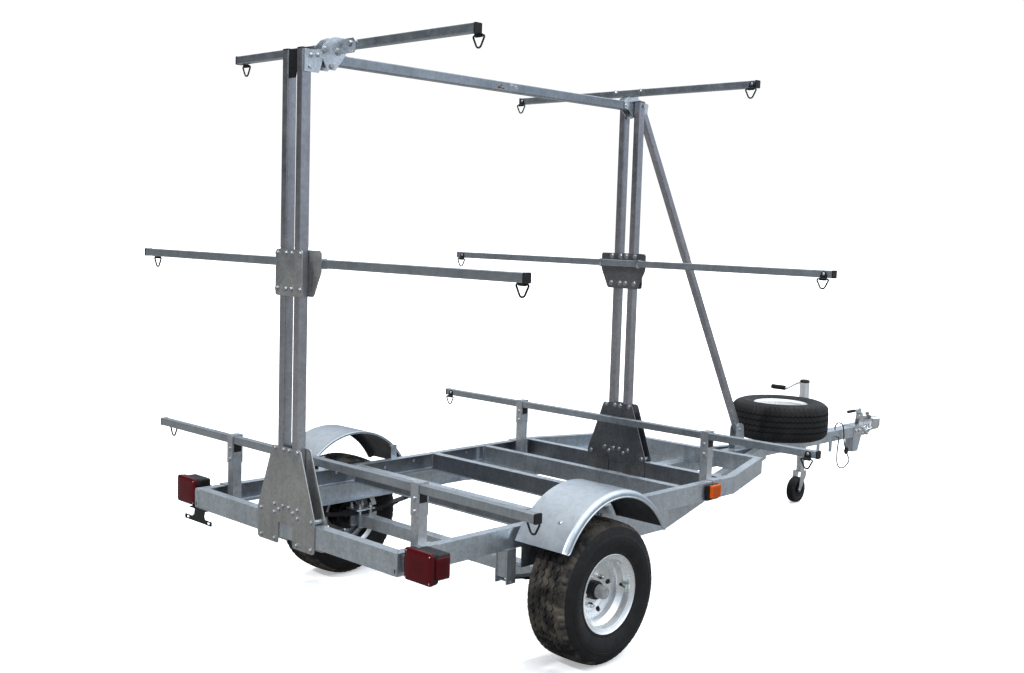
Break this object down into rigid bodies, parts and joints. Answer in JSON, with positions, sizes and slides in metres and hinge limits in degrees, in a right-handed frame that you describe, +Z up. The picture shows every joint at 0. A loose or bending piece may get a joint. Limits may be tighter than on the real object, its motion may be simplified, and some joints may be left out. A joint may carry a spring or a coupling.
{
  "type": "kayak trailer",
  "caption": "Galvanised boat trailer with two masts, three tiers of load bars with lashing rings, fenders, a flat spare wheel, a swing-up jack and a ball coupler.",
  "frame": {"origin": "on the ground under the middle of the trailer", "axes": "+Y forward to the coupler, +X to the right, +Z up"},
  "size_m": [2.16, 4.4185, 2.189],
  "materials": {
    "galvanised": "hot-dip galvanised, matt with a fine spangle",
    "bright_zinc": "bright zinc plate",
    "black_steel": "black coating, satin",
    "tyre": "ribbed road tyre",
    "caster_rubber": "solid rubber",
    "red_lens": "red reflecting lens on a black housing",
    "amber_lens": "amber lens on a black base",
    "black_plastic": "black cable sheath"
  },
  "bodies": {
    "chassis": {"brace": "galvanised", "coupler": "bright_zinc", "drawbar": "galvanised", "fender_left": "galvanised", "fender_right": "galvanised", "harness_cable": "black_plastic", "harness_plug": "black_plastic", "ladder_frame": "galvanised", "leaf_spring_left": "black_steel", "leaf_spring_right": "black_steel", "lower_bar_front": "galvanised", "lower_bar_rear": "galvanised", "mast_base_front": "galvanised", "mast_base_rear": "galvanised", "mast_front_left": "galvanised", "mast_front_right": "galvanised", "mast_rear_left": "galvanised", "mast_rear_right": "galvanised", "mid_bar_front": "galvanised", "mid_bar_rear": "galvanised", "mid_bracket_front": "galvanised", "mid_bracket_rear": "galvanised", "riser_front_left": "galvanised", "riser_front_right": "galvanised", "riser_rear_left": "galvanised", "riser_rear_right": "galvanised", "side_marker_left": "amber_lens", "side_marker_right": "amber_lens", "spare_rim": "bright_zinc", "spare_tyre": "tyre", "spreader": "galvanised", "tail_light_left": "red_lens", "tail_light_right": "red_lens", "top_bar_front": "galvanised", "top_bar_rear": "galvanised", "top_bracket_front": "bright_zinc", "top_bracket_rear": "bright_zinc"},
    "axle_set": {"axle": "galvanised"},
    "wheel_left": {"tyre_left": "tyre", "wheel_rim_left": "bright_zinc"},
    "wheel_right": {"tyre_right": "tyre", "wheel_rim_right": "bright_zinc"},
    "lever": {"coupler_lever": "bright_zinc"},
    "jack": {"jack_tube": "galvanised"},
    "crank": {"jack_crank": "galvanised"},
    "leg": {"jack_leg": "galvanised"},
    "caster": {"jack_fork": "bright_zinc"},
    "caster_wheel": {"jack_wheel": "caster_rubber"},
    "lower_ring_rear_left": {"lower_ring_rear_left": "black_steel"},
    "lower_ring_rear_right": {"lower_ring_rear_right": "black_steel"},
    "lower_ring_front_left": {"lower_ring_front_left": "black_steel"},
    "lower_ring_front_right": {"lower_ring_front_right": "black_steel"},
    "mid_ring_rear_left": {"mid_ring_rear_left": "black_steel"},
    "mid_ring_rear_right": {"mid_ring_rear_right": "black_steel"},
    "mid_ring_front_left": {"mid_ring_front_left": "black_steel"},
    "mid_ring_front_right": {"mid_ring_front_right": "black_steel"},
    "top_ring_rear_left": {"top_ring_rear_left": "black_steel"},
    "top_ring_rear_right": {"top_ring_rear_right": "black_steel"},
    "top_ring_front_left": {"top_ring_front_left": "black_steel"},
    "top_ring_front_right": {"top_ring_front_right": "black_steel"}
  },
  "joints": [
    {"name": "axle_bounce", "type": "slide", "parent": "chassis", "child": "axle_set", "axis": [0, 0, 1], "range_m": [-0.03, 0.038], "stiffness_N_per_m": 60000, "springref_m": -0.02257, "deforming": ["leaf_spring_left", "leaf_spring_right"]},
    {"name": "wheel_left_spin", "type": "hinge", "parent": "axle_set", "child": "wheel_left", "pos_m": [-0.737, -1.39475, 0.2605], "axis": [1, 0, 0], "continuous": true},
    {"name": "wheel_right_spin", "type": "hinge", "parent": "axle_set", "child": "wheel_right", "pos_m": [0.737, -1.39475, 0.2605], "axis": [1, 0, 0], "continuous": true},
    {"name": "coupler_latch", "type": "hinge", "parent": "chassis", "child": "lever", "pos_m": [0, 1.98325, 0.494], "axis": [-1, 0, 0], "range_deg": [0, 80]},
    {"name": "jack_swing", "type": "hinge", "parent": "chassis", "child": "jack", "pos_m": [-0.115, 1.51625, 0.3972], "axis": [-1, 0, 0], "range_deg": [0, 75]},
    {"name": "jack_crank_turn", "type": "hinge", "parent": "jack", "child": "crank", "pos_m": [-0.115, 1.51625, 0.698], "axis": [1, 0, 0], "range_deg": [-10800, 6120]},
    {"name": "jack_leg_travel", "type": "slide", "parent": "jack", "child": "leg", "axis": [0, 0, 1], "range_m": [-0.1505, 0.0855]},
    {"name": "caster_swivel", "type": "hinge", "parent": "leg", "child": "caster", "pos_m": [-0.115, 1.51625, 0.184], "axis": [0, 0, 1], "continuous": true},
    {"name": "caster_roll", "type": "hinge", "parent": "caster", "child": "caster_wheel", "pos_m": [-0.115, 1.47625, 0.075], "axis": [1, 0, 0], "continuous": true},
    {"name": "lower_ring_rear_left_swing", "type": "hinge", "parent": "chassis", "child": "lower_ring_rear_left", "pos_m": [-1.04, -2.04175, 0.6693], "axis": [1, 0, 0], "range_deg": [-85, 120]},
    {"name": "lower_ring_rear_right_swing", "type": "hinge", "parent": "chassis", "child": "lower_ring_rear_right", "pos_m": [1.04, -2.04175, 0.6693], "axis": [1, 0, 0], "range_deg": [-85, 120]},
    {"name": "lower_ring_front_left_swing", "type": "hinge", "parent": "chassis", "child": "lower_ring_front_left", "pos_m": [-1.04, -0.45275, 0.6693], "axis": [1, 0, 0], "range_deg": [-120, 85]},
    {"name": "lower_ring_front_right_swing", "type": "hinge", "parent": "chassis", "child": "lower_ring_front_right", "pos_m": [1.04, -0.45275, 0.6693], "axis": [1, 0, 0], "range_deg": [-120, 85]},
    {"name": "mid_ring_rear_left_swing", "type": "hinge", "parent": "chassis", "child": "mid_ring_rear_left", "pos_m": [-1.0375, -2.11945, 1.3833], "axis": [1, 0, 0], "range_deg": [-85, 120]},
    {"name": "mid_ring_rear_right_swing", "type": "hinge", "parent": "chassis", "child": "mid_ring_rear_right", "pos_m": [1.0375, -2.11945, 1.3833], "axis": [1, 0, 0], "range_deg": [-85, 120]},
    {"name": "mid_ring_front_left_swing", "type": "hinge", "parent": "chassis", "child": "mid_ring_front_left", "pos_m": [-1.0375, -0.40055, 1.3833], "axis": [1, 0, 0], "range_deg": [-120, 85]},
    {"name": "mid_ring_front_right_swing", "type": "hinge", "parent": "chassis", "child": "mid_ring_front_right", "pos_m": [1.0375, -0.40055, 1.3833], "axis": [1, 0, 0], "range_deg": [-120, 85]},
    {"name": "top_ring_rear_left_swing", "type": "hinge", "parent": "chassis", "child": "top_ring_rear_left", "pos_m": [-0.655, -1.95275, 2.1483], "axis": [1, 0, 0], "range_deg": [-85, 120]},
    {"name": "top_ring_rear_right_swing", "type": "hinge", "parent": "chassis", "child": "top_ring_rear_right", "pos_m": [0.655, -1.95275, 2.1483], "axis": [1, 0, 0], "range_deg": [-85, 120]},
    {"name": "top_ring_front_left_swing", "type": "hinge", "parent": "chassis", "child": "top_ring_front_left", "pos_m": [-0.655, -0.38675, 2.1483], "axis": [1, 0, 0], "range_deg": [-120, 85]},
    {"name": "top_ring_front_right_swing", "type": "hinge", "parent": "chassis", "child": "top_ring_front_right", "pos_m": [0.655, -0.38675, 2.1483], "axis": [1, 0, 0], "range_deg": [-120, 85]}
  ],
  "couplings": [
    {"joint": "jack_leg_travel", "follows": "jack_crank_turn", "m_per_rad": 0.00079577}
  ]
}
